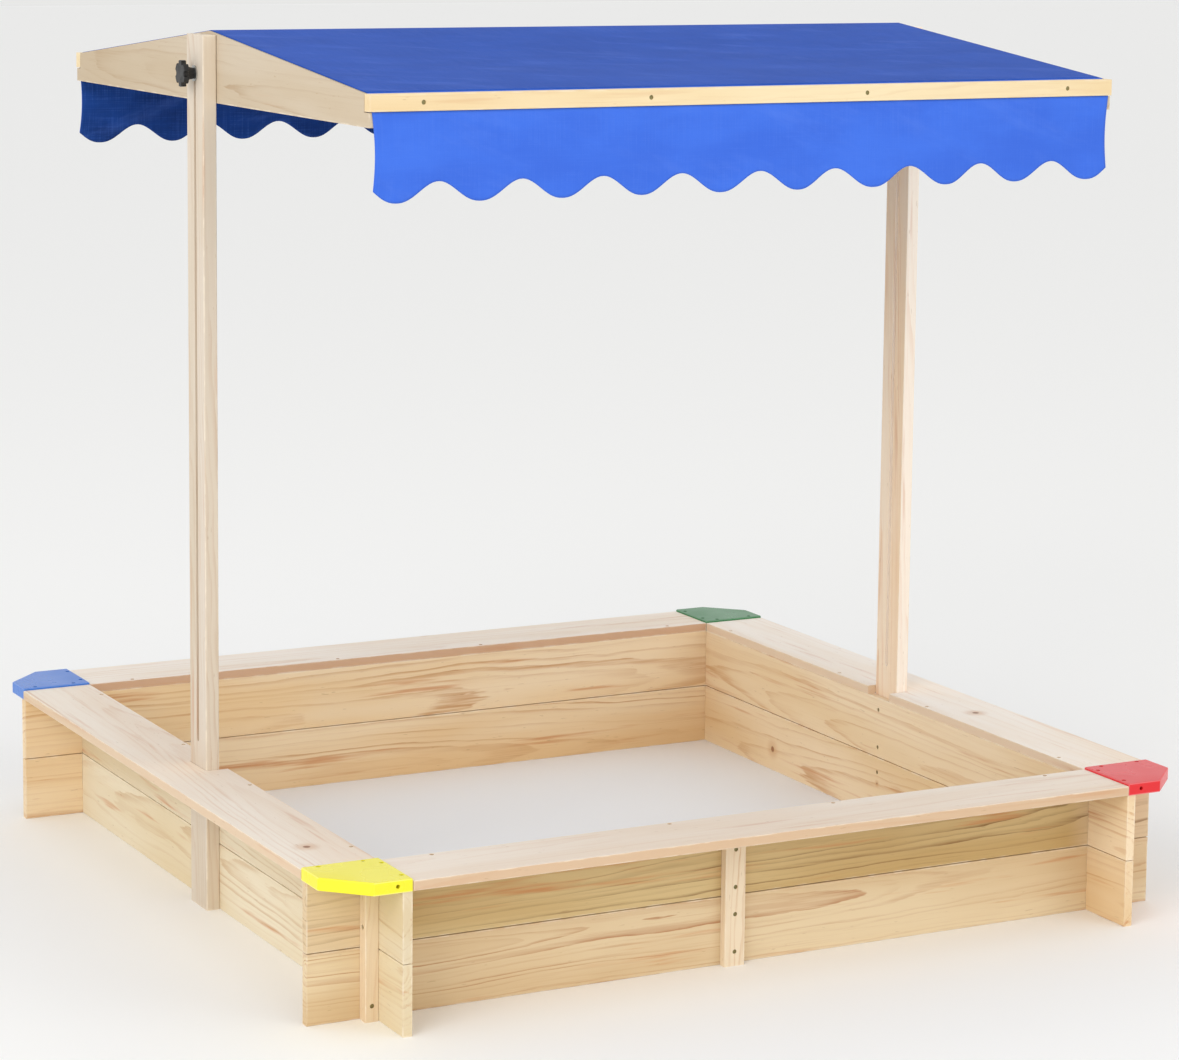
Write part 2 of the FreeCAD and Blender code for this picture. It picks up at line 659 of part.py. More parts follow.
def write_parts():
    os.makedirs("parts", exist_ok=True)
    for name, shape in sorted(parts.items()):
        shape.exportStep("parts/" + name + ".step")
        print(name, len(shape.Solids), "solids", round(shape.Volume), "mm3, valid", shape.isValid())


build_box(
    seat_screw_set(),
    corner_piece_screw_set(),
    corner_batten_screw_set(),
    centre_batten_screw_set(),
    post_screw_set(),
)
build_canopy(rail_screw_set())
write_parts()
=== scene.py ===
import math
import bpy
from mathutils import Matrix, Vector, noise


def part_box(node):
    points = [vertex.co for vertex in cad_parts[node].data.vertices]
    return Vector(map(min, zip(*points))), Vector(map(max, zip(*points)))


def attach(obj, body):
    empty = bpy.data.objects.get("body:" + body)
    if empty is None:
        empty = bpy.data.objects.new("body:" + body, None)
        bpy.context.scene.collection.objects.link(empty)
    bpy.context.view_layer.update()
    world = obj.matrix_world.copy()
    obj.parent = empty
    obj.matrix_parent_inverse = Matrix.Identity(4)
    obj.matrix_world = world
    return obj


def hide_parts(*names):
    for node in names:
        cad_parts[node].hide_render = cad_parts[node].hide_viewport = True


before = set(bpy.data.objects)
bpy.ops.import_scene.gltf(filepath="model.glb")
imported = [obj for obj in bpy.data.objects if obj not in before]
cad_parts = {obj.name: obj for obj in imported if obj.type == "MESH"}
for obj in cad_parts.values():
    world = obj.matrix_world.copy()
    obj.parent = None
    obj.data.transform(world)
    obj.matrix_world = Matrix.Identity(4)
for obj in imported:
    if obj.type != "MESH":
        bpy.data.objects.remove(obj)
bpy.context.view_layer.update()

MM = 0.001

# Camera: a long lens at the left front of the box. Angles in degrees, places in metres.
IMAGE_WIDTH_PX = 1179
FOCAL_PX = 3538.3
SENSOR_MM = 36.0
CAMERA_PLACE = (-2.1182, -4.1254, 1.3069)
CAMERA_YAW = 27.521
CAMERA_PITCH = 8.053
CAMERA_ROLL = 0.602
CAMERA_SHIFT_Y = -0.1272

# Stage: floor, surroundings and two soft lights
FLOOR_HALF = 30.0
FLOOR_COLOUR = (0.93, 0.93, 0.92, 1.0)
FLOOR_ROUGHNESS = 0.9
SURROUNDINGS_COLOUR = (1.0, 1.0, 1.0, 1.0)
SURROUNDINGS_STRENGTH = 0.88
BACKDROP_COLOUR = (0.81, 0.81, 0.80, 1.0)       # what the camera sees past the floor
LIGHT_TARGET = (0.0, 0.0, 0.4)
KEY_LIGHT = {"place": (-4.4, -3.0, 2.9), "size": 3.2, "power": 100.0, "tint": (1.0, 0.985, 0.96)}
FILL_LIGHT = {"place": (3.2, -4.6, 2.4), "size": 3.0, "power": 40.0, "tint": (1.0, 0.99, 0.97)}

# Canopy cloth
CLOTH_THICKNESS = 0.8 * MM
CLOTH_LIFT = 0.6 * MM          # middle of the sheet above the timber it lies on
CLOTH_COLUMNS = 240
ROOF_ROWS = 40
VALANCE_ROWS = 24
SIDE_INSET = 3.5 * MM
VALANCE_DROP = 104 * MM
SCALLOP_PITCH = 105 * MM
SCALLOP_HEIGHT = 24 * MM
SCALLOP_POWER = 1.15           # above 1 makes the arches narrower than the tongues
ROOF_SAG = 3.5 * MM
ROOF_RIPPLE = 1.2 * MM
RIPPLE_RATES = (5.0, 14.0)     # along and down the roof, per metre
RIPPLE_SLICE = 3.1
SAG_BLEND_X = 0.30             # distance from a gable over which the sag grows
SAG_BLEND_Y = 0.20             # distance from a beam over which it grows
FOLD_DEPTH = 7.0 * MM
FOLD_POWER = 1.3               # how late the folds grow on the way down
# Two sizes of fold: share, rate along the eave, step from one valance to the other, rate down
FOLD_WAVES = ((1.0, 6.5, 4.7, 2.5), (0.5, 15.0, 9.1, 3.0))
FOLD_CLEAR_SHARE = 0.55        # share of the drop below which folds may go inwards freely
EDGE_FLARE = 5.0 * MM
FLARE_WIDTH = 0.10
EDGE_PULL = 4.0 * MM
PULL_WIDTH = 0.06
THREAD_PAIR = 1.6 * MM
CUT_MAP = "cloth_metres"       # name of the UV map that holds places on the cut cloth, in metres

# How fast the cloth's marks change across and down the cut, per metre. The third is not used.
WARP_RATES = (900.0, 14.0, 0.0)
WEFT_RATES = (14.0, 900.0, 0.0)
CLOUD_RATES = (6.0, 13.0, 0.0)
PALE_STREAK_RATES = (7.0, 26.0, 0.0)
PALE_STREAK_SLANT = 0.35
PALE_STREAK_TONE = "6C90EC"
SLUB_TONE = "5C84E6"
WEAVE_GAP_TONE = "163A94"
# Darker and lighter tone of the roof, then of the valances; the valances' pair is much brighter than
# the roof's, painted light on the hanging cloth and painted shade on the roof
OUTER_TONES = (("164AAA", "1C50B4"), ("3C6ADA", "4273E4"))
# Underside of the cloth, roof then valances: far darker than the top, painted shade under the canopy
UNDERSIDE_SHADE_TONES = (("0F3678", "154290"), ("0C2F6C", "154290"))

# How fast the marks in pine change along, across and into a board, per metre
SLOW_WAVER_RATES = (2.2, 12.0, 12.0)
QUICK_WAVER_RATES = (9.0, 60.0, 60.0)
FLAME_RATES = (7.0, 240.0, 240.0)
FADE_RATES = (1.7, 20.0, 20.0)
FIBRE_RATES = (9.0, 620.0, 620.0)
PATCH_RATES = (1.5, 10.0, 10.0)
STREAK_RATES = (4.0, 75.0, 75.0)
SPECK_RATES = (60.0, 420.0, 420.0)
WORN_RATE = 45.0

# Growth rings. Each board's pith line lies behind it, to one side, and leans along it.
PITH_ASIDE = 34 * MM
PITH_BEHIND = 34 * MM
PITH_BEHIND_SPREAD = 12 * MM
PITH_LEAN = 0.022              # sideways, per unit of length, at most
PITH_DRIFT = 0.034             # into the board, per unit of length
ASIDE_TURN = 2.3               # turn from one seed to the next, in radians, and so below
BEHIND_TURN = 3.7
LEAN_TURN = 5.1
SLOW_WAVER = 26 * MM
QUICK_WAVER = 7 * MM
UNEVEN_RATE = 60.0
UNEVEN_SPREAD = 16 * MM
RING_PICK_STEP = 10            # keeps one board's random ring weights apart from the next board's
RING_WEIGHT_POWER = 1.6
RING_WEIGHT_LEAST = 0.1

# Knots
KNOT_CELLS = 7.0               # places for a knot, per metre each way
KNOT_LEAST = 12 * MM
KNOT_SPREAD = 26 * MM

RESIN_TONE = "C8824C"
SPECK_TONE = "A9855A"
STAIN_TONE = "CC9560"
KNOT_TONE = "8F5A36"
# Paler tone on board edges: partly wear, partly painted highlight
EDGE_WEAR_AND_HIGHLIGHT_TONE = "F7EBD6"

GRAIN_ORDER = {"X": (0, 1, 2), "Y": (1, 0, 2), "Z": (2, 0, 1)}
CROSSING = -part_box("left_wall_upper")[0].x      # distance of the walls' outer faces from the middle
END_BLEND = 0.05
FIRST_SEED = 1.0
SEED_GAP = 1.37
SEED_STEP = 1.7                # metres along the grain for each unit of seed

# Paint, plastic and steel
PAINT_GRAIN_RATES = (22.0, 180.0, 180.0)
PAINT_BLOTCH_RATE = 14.0
PAINT_RIPPLE_RATE = 260.0
PLASTIC_FINE_RATE = 1800.0
PLASTIC_BROAD_RATE = 90.0
PLASTIC_TONES = ("0D0D0E", "181819")
SPANGLE_RATE = 420.0
SCRATCH_RATES = (300.0, 300.0, 2600.0)
SCRATCH_ROUGHENS = 0.16
STEEL_METALLIC = 0.9
WHITE = "FFFFFF"

# Tones of the boards: pale wood, warmer wood, late wood
WALLS = {
    # The front upper board's darker tones are painted shade from the seat above it
    "front_wall_upper": ("D6BD8A", "C6A66E", "80592B"),
    "front_wall_lower": ("E6D1AC", "D8BC92", "A9642E"),
    "left_wall_upper": ("E6D9BE", "DDCAA6", "BE9A68"),
    "left_wall_lower": ("ECE0C6", "E2D0AC", "C6A072"),
    "back_wall_upper": ("F2DBB8", "EBCB9C", "BE8247"),
    "back_wall_lower": ("EFD7B2", "E6C392", "B97A40"),
    "right_wall_upper": ("F4DEBC", "EBCFA4", "C88F55"),
    "right_wall_lower": ("F1D9B5", "E7C89A", "C2874C"),
}
SEATS = {
    "front": ("F4E8D9", "EEDCC7", "CF9F78"),
    "back": ("F8EEE1", "F2E2CE", "D4A880"),
    "left": ("F6EBDC", "F0DFCB", "CF9F78"),
    "right": ("FDF4E8", "F8E8D4", "DBB088"),
}
BATTEN = ("EEDCC0", "E5CCA8", "CDA070")
# The right post's tones are brighter than the left's: painted light on the right post
POSTS = {"left": ("DDD1C2", "D3C4AE", "BF9C7A"), "right": ("FBE8CF", "F6D6B0", "DC9F6A")}
GABLE = ("CDBEA8", "C4B195", "A07C54")
RAIL = ("EFDCB4", "E6CA9A", "C9955E")
INNER_BEAM = ("E6D2AE", "DEC496", "C99A62")

# Tones of narrow side faces, and of ends past the crossings, where they differ: painted light and
# shade, on the seats mixed with the wood's own edge colour
# Seat edges: partly the wood's warmer edge colour, partly painted shade, darkest on the back seat's
# inner edge
SEAT_SIDES = {"front": "D3AF88", "back": "C8966A", "left": "DABD9A", "right": "E3C7A6"}
# Posts' front and back faces: painted shade on the left post, painted light on the right
POST_SIDES = {"left": "DCCDB8", "right": "FFF6EA"}
# Paler ends of the front upper board past the crossings: painted light, out of the seat's painted shade
LIT_WALL_ENDS = {"front_wall_upper": "E6CFAE"}

# How each kind of board differs from plain pine; the words are those of pine()
WALL_STYLES = {
    "front": {"pitch": 6.5, "strength": 1.0, "resin": 0.7},
    "back": {"pitch": 8.0, "strength": 1.0, "resin": 0.7},
    "left": {"pitch": 6.5, "strength": 0.65, "resin": 0.7},
    "right": {"pitch": 8.0, "strength": 1.0, "resin": 0.7},
}
SEAT_STYLE = {"pitch": 8.0, "knots": 0.12, "strength": 0.55, "resin": 0.35}
BATTEN_STYLE = {"pitch": 4.0, "knots": 0.0, "resin": 0.15}
POST_STYLE = {"pitch": 6.0, "knots": 0.0, "strength": 0.85, "resin": 0.35}
GABLE_STYLE = {"pitch": 7.0, "knots": 0.0, "strength": 0.8, "resin": 0.1}
RAIL_STYLE = {"pitch": 5.0, "knots": 0.06, "strength": 0.5, "resin": 0.2}
DOWEL_STYLE = {"pitch": 2.5, "knots": 0.0, "resin": 0.0}

# Grain direction of each side's boards, and the axis that its wall boards are thin along
SIDES = {"front": ("X", "Y"), "back": ("X", "Y"), "left": ("Y", "X"), "right": ("Y", "X")}
BATTEN_PLACES = ("front_left", "front_right", "back_right", "back_left", "front_centre", "back_centre")

# Main and deeper colour of each painted corner piece
PAINTS = {
    "yellow": ("F8EE2E", "F2E41E"),
    "red": ("E6282E", "D81C24"),
    "green": ("2E7F45", "236B38"),
    "blue": ("3478D4", "2A68C4"),
}

# Sockets of Blender's Mix node in its colour mode
MIX_FACTOR = 0
MIX_FIRST_COLOUR = 6
MIX_SECOND_COLOUR = 7
MIX_COLOUR_RESULT = 2


# ---- colours ---------------------------------------------------------------------------------------
def colour(text):
    """Linear RGBA of a hexadecimal screen colour."""
    out = []
    for start in (0, 2, 4):
        value = int(text[start:start + 2], 16) / 255
        out.append(value / 12.92 if value <= 0.04045 else ((value + 0.055) / 1.055) ** 2.4)
    return (*out, 1.0)


# ---- material building -----------------------------------------------------------------------------
class Finish:
    """A node material under construction."""

    def __init__(self, name):
        self.material = bpy.data.materials.new(name)
        self.material.use_nodes = True
        self.nodes = self.material.node_tree.nodes
        self.links = self.material.node_tree.links
        self.shader = self.nodes["Principled BSDF"]
        place = self.nodes.new("ShaderNodeTexCoord")
        self.place = place.outputs["Object"]
        self.facing = place.outputs["Normal"]

    def feed(self, socket, value):
        """Links a socket, or sets a plain number or colour on it."""
        if isinstance(value, bpy.types.NodeSocket):
            self.links.new(value, socket)
        else:
            socket.default_value = value

    def set(self, name, value):
        """Links or sets one of the surface shader's own sockets."""
        self.feed(self.shader.inputs[name], value)

    def math(self, operation, *values):
        node = self.nodes.new("ShaderNodeMath")
        node.operation = operation
        for socket, value in zip(node.inputs, values):
            self.feed(socket, value)
        return node.outputs[0]

    def times(self, first, second):
        return self.math("MULTIPLY", first, second)

    def line(self, value, gain, start):
        """A value times a gain, plus a start."""
        return self.math("MULTIPLY_ADD", value, gain, start)

    def smooth(self, value, low, high, to_low=0.0, to_high=1.0):
        """Smooth step of a value between two levels."""
        node = self.nodes.new("ShaderNodeMapRange")
        node.interpolation_type = "SMOOTHSTEP"
        for name, part in zip(("Value", "From Min", "From Max", "To Min", "To Max"),
                              (value, low, high, to_low, to_high)):
            self.feed(node.inputs[name], part)
        return node.outputs["Result"]

    def falling(self, value, low, high):
        """Smooth step from 1 at the low level to 0 at the high one."""
        return self.smooth(value, low, high, 1.0, 0.0)

    def split(self, vector):
        node = self.nodes.new("ShaderNodeSeparateXYZ")
        self.feed(node.inputs[0], vector)
        return node.outputs[0], node.outputs[1], node.outputs[2]

    def join(self, x, y, z):
        node = self.nodes.new("ShaderNodeCombineXYZ")
        for socket, value in zip(node.inputs, (x, y, z)):
            self.feed(socket, value)
        return node.outputs[0]

    def noise(self, vector, scale, detail=2.0, roughness=0.5):
        node = self.nodes.new("ShaderNodeTexNoise")
        self.feed(node.inputs["Vector"], vector)
        node.inputs["Scale"].default_value = scale
        node.inputs["Detail"].default_value = detail
        node.inputs["Roughness"].default_value = roughness
        return node.outputs["Fac"]

    def marks(self, parts, rates, detail=2.0, roughness=0.5):
        """Noise that changes at its own rate along each of three values."""
        vector = self.join(*[self.times(part, rate) for part, rate in zip(parts, rates)])
        return self.noise(vector, 1.0, detail, roughness)

    def mix(self, factor, first, second):
        node = self.nodes.new("ShaderNodeMix")
        node.data_type = "RGBA"
        self.feed(node.inputs[MIX_FACTOR], factor)
        self.feed(node.inputs[MIX_FIRST_COLOUR], first)
        self.feed(node.inputs[MIX_SECOND_COLOUR], second)
        return node.outputs[MIX_COLOUR_RESULT]

    def over(self, base, factor, tone):
        """A tone laid over a colour, as strongly as the factor says."""
        return self.mix(factor, base, colour(tone))

    def pick(self, index):
        """Random value that stays the same for each whole number."""
        node = self.nodes.new("ShaderNodeTexWhiteNoise")
        node.noise_dimensions = "1D"
        self.feed(node.inputs["W"], index)
        return node.outputs["Value"]

    def bump(self, height, depth, strength):
        node = self.nodes.new("ShaderNodeBump")
        node.inputs["Strength"].default_value = strength
        node.inputs["Distance"].default_value = depth
        self.feed(node.inputs["Height"], height)
        self.set("Normal", node.outputs[0])


def edge_distance(finish, node):
    """Distance from a point on a node's surface to the nearest edge of the node's box."""
    low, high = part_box(node)
    depths = []
    for value, start, end in zip(finish.split(finish.place), low, high):
        offset = finish.math("ABSOLUTE", finish.math("SUBTRACT", value, (start + end) / 2))
        depths.append(finish.math("SUBTRACT", (end - start) / 2, offset))
    small = finish.math("MINIMUM", depths[0], depths[1])
    large = finish.math("MAXIMUM", depths[0], depths[1])
    return finish.math("MAXIMUM", small, finish.math("MINIMUM", large, depths[2]))


# ---- pine --------------------------------------------------------------------------------------------
def board_place(finish, node, axis, flat, seed):
    """Place in a board: along its grain, across its face and into its thickness."""
    parts = finish.split(finish.place)
    low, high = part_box(node)
    along_axis, wide_axis, thick_axis = GRAIN_ORDER[axis]
    if flat == "XYZ"[wide_axis]:
        wide_axis, thick_axis = thick_axis, wide_axis
    along = finish.math("ADD", parts[along_axis], seed * SEED_STEP)
    wide = finish.math("SUBTRACT", parts[wide_axis], (low[wide_axis] + high[wide_axis]) / 2)
    thick = finish.math("SUBTRACT", parts[thick_axis], (low[thick_axis] + high[thick_axis]) / 2)
    return along, wide, thick


def knot_marks(finish, place, share):
    """Sparse knots that run straight through a board: their dark cores and the stain round them."""
    along, wide, _ = place
    cells = finish.nodes.new("ShaderNodeTexVoronoi")
    cells.voronoi_dimensions = "2D"
    cells.inputs["Scale"].default_value = KNOT_CELLS
    finish.feed(cells.inputs["Vector"], finish.join(along, wide, 0.0))
    chance, width, _ = finish.split(cells.outputs["Color"])
    kept = finish.math("LESS_THAN", chance, share)
    size = finish.line(width, KNOT_SPREAD, KNOT_LEAST)
    reach = finish.math("DIVIDE", cells.outputs["Distance"], size)
    core = finish.times(finish.falling(reach, 0.6, 1.05), kept)
    stain = finish.times(finish.falling(reach, 0.8, 4.0), kept)
    return core, stain


def pith_distance(finish, place, seed):
    """Distance from a board's pith line, made wavy and uneven as real rings are."""
    along, wide, thick = place
    start = seed * SEED_STEP
    lean = PITH_LEAN * math.cos(seed * LEAN_TURN)
    aside = PITH_ASIDE * math.sin(seed * ASIDE_TURN)
    behind = PITH_BEHIND + PITH_BEHIND_SPREAD * math.sin(seed * BEHIND_TURN)
    side = finish.math("SUBTRACT", wide, finish.line(along, lean, aside - start * lean))
    back = finish.math("ADD", thick, finish.line(along, PITH_DRIFT, behind - start * PITH_DRIFT))
    square = finish.math("ADD", finish.math("POWER", side, 2.0), finish.math("POWER", back, 2.0))
    radius = finish.math("SQRT", square)
    slow = finish.marks(place, SLOW_WAVER_RATES, detail=3.0, roughness=0.45)
    quick = finish.marks(place, QUICK_WAVER_RATES, detail=3.0, roughness=0.55)
    radius = finish.math("ADD", radius, finish.line(slow, SLOW_WAVER, -SLOW_WAVER / 2))
    radius = finish.math("ADD", radius, finish.line(quick, QUICK_WAVER, -QUICK_WAVER / 2))
    shifted = finish.join(finish.math("ADD", radius, start), 0.0, 0.0)
    uneven = finish.noise(shifted, UNEVEN_RATE)
    return finish.math("ADD", radius, finish.line(uneven, UNEVEN_SPREAD, -UNEVEN_SPREAD / 2))


def ring_marks(finish, place, seed, pitch):
    """Growth rings: dark lines that build up slowly and end sharply, each with its own weight."""
    count = finish.math("DIVIDE", pith_distance(finish, place, seed), pitch)
    turn = finish.math("FRACT", count)
    line = finish.times(finish.smooth(turn, 0.45, 0.92), finish.falling(turn, 0.93, 1.0))
    flame = finish.marks(place, FLAME_RATES, roughness=0.6)
    line = finish.times(line, finish.smooth(flame, 0.30, 0.62, to_low=0.25))
    chance = finish.pick(finish.math("ADD", finish.math("FLOOR", count), RING_PICK_STEP * seed))
    weight = finish.line(finish.math("POWER", chance, RING_WEIGHT_POWER), 1 - RING_WEIGHT_LEAST,
                         RING_WEIGHT_LEAST)
    fade = finish.smooth(finish.marks(place, FADE_RATES), 0.32, 0.66, to_low=0.25)
    return finish.times(finish.times(line, weight), fade)


def side_faces(finish, flat):
    """One on a board's narrow side faces and zero on its two wide ones."""
    across = finish.split(finish.facing)["XYZ".index(flat)]
    return finish.falling(finish.math("ABSOLUTE", across), 0.5, 0.9)


def past_crossing(finish, axis):
    """Zero between the crossings of the walls, growing to one at the crossings and past them."""
    reach = finish.math("ABSOLUTE", finish.split(finish.place)["XYZ".index(axis)])
    return finish.smooth(reach, CROSSING - END_BLEND, CROSSING)


def pine(node, axis, flat, seed, tones, side_tone=None, end_tone=None, pitch=6.0, knots=0.05,
         strength=0.85, resin=0.5):
    """Planed pine for one board: rings, fibres, resin streaks, specks, knots and paler edges, partly
    wear and partly painted highlight.

    axis is the grain's direction and flat the axis that the board is thin along. tones are its pale
    wood, warmer wood and late wood. side_tone is the colour of its narrow side faces, where that
    differs, which is painted light and shade, on the seats mixed with the wood's own edge colour,
    and end_tone that of its ends past the crossings, painted light. pitch is the ring spacing in
    millimetres, knots the chance of a knot in each place for one, strength the darkness of the
    rings, and resin that of the streaks.
    """
    pale, warm, late = (colour(tone) for tone in tones)
    finish = Finish("pine_" + node)
    place = board_place(finish, node, axis, flat, seed)
    core, stain = knot_marks(finish, place, knots)
    ring = ring_marks(finish, place, seed, pitch * MM)
    fibre = finish.marks(place, FIBRE_RATES, detail=3.0, roughness=0.6)
    patch = finish.marks(place, PATCH_RATES, detail=3.0)
    streak = finish.marks(place, STREAK_RATES, detail=3.0, roughness=0.55)
    speck = finish.marks(place, SPECK_RATES, detail=1.0)

    base = finish.mix(finish.smooth(patch, 0.36, 0.66), pale, warm)
    # Paler ends past the crossings: painted light where the ends stand out of the seat's shade
    if end_tone:
        base = finish.over(base, finish.times(past_crossing(finish, axis), 0.7), end_tone)
    # Own tone on the narrow side faces: painted light and shade, partly the wood's edge colour
    if side_tone:
        base = finish.over(base, finish.times(side_faces(finish, flat), 0.8), side_tone)
    base = finish.mix(finish.times(ring, strength), base, late)
    base = finish.mix(finish.smooth(fibre, 0.55, 0.80, to_high=0.22), base, late)
    base = finish.over(base, finish.smooth(streak, 0.60, 0.76, to_high=resin), RESIN_TONE)
    base = finish.over(base, finish.smooth(speck, 0.74, 0.80, to_high=0.35), SPECK_TONE)
    base = finish.over(base, finish.times(stain, 0.40), STAIN_TONE)
    base = finish.over(base, finish.times(core, 0.85), KNOT_TONE)
    # Paler edges: partly wear, partly painted highlight where edges catch the light
    edge = finish.falling(edge_distance(finish, node), 0.5 * MM, 2.2 * MM)
    edge_wear_and_highlight = finish.smooth(finish.noise(finish.place, WORN_RATE, detail=3.0), 0.40, 0.66, 0.05, 0.5)
    base = finish.over(base, finish.times(edge, edge_wear_and_highlight), EDGE_WEAR_AND_HIGHLIGHT_TONE)
    finish.set("Base Color", base)
    rough = finish.line(fibre, 0.18, 0.55)
    finish.set("Roughness", finish.line(core, -0.15, rough))
    finish.set("Specular IOR Level", 0.3)
    height = finish.line(ring, -0.5, finish.times(fibre, 0.6))
    finish.bump(finish.line(core, 0.4, height), 0.25 * MM, 0.8)
    return finish.material


# ---- paint, plastic, steel and cloth -----------------------------------------------------------------
def paint(name, main, deep, node):
    """Gloss paint over wood: faint grain below it, and paler on the edges, partly thinner paint and
    partly painted highlight.
    """
    finish = Finish(name)
    grain = finish.marks(finish.split(finish.place), PAINT_GRAIN_RATES, detail=3.0)
    blotch = finish.noise(finish.place, PAINT_BLOTCH_RATE)
    base = finish.over(colour(main), finish.smooth(blotch, 0.3, 0.7, to_high=0.22), deep)
    base = finish.over(base, finish.smooth(grain, 0.55, 0.8, to_high=0.12), deep)
    # Whiter edges: partly thin paint, partly painted highlight
    edge_wear_and_highlight = finish.smooth(edge_distance(finish, node), 0.3 * MM, 1.6 * MM, 0.18, 0.0)
    finish.set("Base Color", finish.over(base, edge_wear_and_highlight, WHITE))
    finish.set("Roughness", finish.smooth(blotch, 0.3, 0.7, 0.26, 0.36))
    finish.set("Specular IOR Level", 0.35)
    finish.set("Coat Weight", 0.12)
    finish.set("Coat Roughness", 0.20)
    ripple = finish.noise(finish.place, PAINT_RIPPLE_RATE)
    finish.bump(finish.line(grain, 0.5, ripple), 0.10 * MM, 0.4)
    return finish.material


def moulded_plastic(name):
    """Black moulded plastic with a fine spark-eroded texture."""
    finish = Finish(name)
    fine = finish.noise(finish.place, PLASTIC_FINE_RATE)
    broad = finish.noise(finish.place, PLASTIC_BROAD_RATE, detail=3.0)
    finish.set("Base Color", finish.mix(broad, *[colour(tone) for tone in PLASTIC_TONES]))
    finish.set("Roughness", finish.smooth(broad, 0.3, 0.7, 0.34, 0.50))
    finish.bump(fine, 0.10 * MM, 0.6)
    return finish.material


def plated_steel(name, light, dark, rough):
    """Zinc-plated steel, faintly mottled and scratched."""
    finish = Finish(name)
    spangle = finish.noise(finish.place, SPANGLE_RATE, detail=3.0)
    scratch = finish.marks(finish.split(finish.place), SCRATCH_RATES)
    finish.set("Base Color", finish.mix(spangle, colour(light), colour(dark)))
    finish.set("Metallic", STEEL_METALLIC)
    finish.set("Roughness", finish.smooth(scratch, 0.3, 0.7, rough, rough + SCRATCH_ROUGHENS))
    finish.bump(scratch, 0.03 * MM, 0.5)
    return finish.material


def woven_cloth(name, roof_tones, valance_tones, roof_length):
    """Plain-woven polyester: threads both ways, slubs, soft clouds and paler slanted streaks.

    The roof's tones hold as far as roof_length from the ridge along the cut cloth, and the
    valances' tones past that. The brightness step between them is painted light and shade: the valances
    painted lit, the roof painted shaded.
    """
    finish = Finish(name)
    cut = finish.nodes.new("ShaderNodeUVMap")
    cut.uv_map = CUT_MAP
    u, v, _ = finish.split(cut.outputs[0])
    warp = finish.marks((u, v, v), WARP_RATES)
    weft = finish.marks((u, v, v), WEFT_RATES)
    cloud = finish.marks((u, v, v), CLOUD_RATES, detail=5.0, roughness=0.6)
    slant = finish.line(u, PALE_STREAK_SLANT, v)
    pale_streak = finish.marks((u, slant, v), PALE_STREAK_RATES, detail=5.0, roughness=0.65)
    across = finish.math("SINE", finish.times(u, 2 * math.pi / THREAD_PAIR))
    down = finish.math("SINE", finish.times(v, 2 * math.pi / THREAD_PAIR))
    weave = finish.times(across, down)
    shade = finish.smooth(cloud, 0.32, 0.68)
    # Roof and valance tones differ in brightness as painted light and shade; each pair's own step is
    # the cloth's clouds
    roof = finish.mix(shade, *[colour(tone) for tone in roof_tones])
    valance = finish.mix(shade, *[colour(tone) for tone in valance_tones])
    past_eave = finish.math("GREATER_THAN", finish.math("ABSOLUTE", v), roof_length)
    base = finish.mix(past_eave, roof, valance)
    # Paler slanted streaks across roof and valances
    base = finish.over(base, finish.smooth(pale_streak, 0.50, 0.80, to_high=0.20), PALE_STREAK_TONE)
    slub = finish.smooth(finish.math("ADD", warp, weft), 0.95, 1.3, to_high=0.18)
    base = finish.over(base, slub, SLUB_TONE)
    base = finish.over(base, finish.smooth(weave, -0.2, 0.9, to_high=0.08), WEAVE_GAP_TONE)
    finish.set("Base Color", base)
    finish.set("Roughness", finish.smooth(weft, 0.3, 0.7, 0.72, 0.88))
    finish.set("Specular IOR Level", 0.15)
    finish.set("Sheen Weight", 0.03)
    threads = finish.math("ADD", finish.math("ADD", warp, weft), finish.times(weave, 0.5))
    finish.bump(threads, 0.14 * MM, 0.6)
    return finish.material


# ---- carried-over timber, paint, plastic and steel ---------------------------------------------------
def dress(node, material):
    """Puts one material on every slot of a CAD node."""
    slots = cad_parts[node].data.materials
    if not slots:
        slots.append(material)
    for index in range(len(slots)):
        slots[index] = material


def timber():
    """Each board's node, grain direction, thin direction, tones and style. The order sets the seeds."""
    boards = []
    for level in ("upper", "lower"):
        for side, (axis, flat) in SIDES.items():
            node = side + "_wall_" + level
            style = {**WALL_STYLES[side], "end_tone": LIT_WALL_ENDS.get(node)}
            boards.append((node, axis, flat, WALLS[node], style))
    for side, (axis, _) in SIDES.items():
        style = {**SEAT_STYLE, "side_tone": SEAT_SIDES[side]}
        boards.append((side + "_seat", axis, "Z", SEATS[side], style))
    for place in BATTEN_PLACES:
        boards.append((place + "_batten", "Z", "Y", BATTEN, BATTEN_STYLE))
    for side in ("left", "right"):
        style = {**POST_STYLE, "side_tone": POST_SIDES[side]}
        boards.append((side + "_post", "Z", "X", POSTS[side], style))
        boards.append((side + "_gable", "Y", "X", GABLE, GABLE_STYLE))
    for side in ("front", "back"):
        boards.append((side + "_rail", "X", "Y", RAIL, RAIL_STYLE))
        boards.append((side + "_eave_beam", "X", "Y", INNER_BEAM, {}))
    boards.append(("ridge_beam", "X", "Y", INNER_BEAM, {}))
    boards.append(("frame_dowels", "X", "Y", INNER_BEAM, DOWEL_STYLE))
    return boards


def dress_timber():
    """Gives each board a pine of its own."""
    for index, (node, axis, flat, tones, style) in enumerate(timber()):
        dress(node, pine(node, axis, flat, FIRST_SEED + SEED_GAP * index, tones, **style))


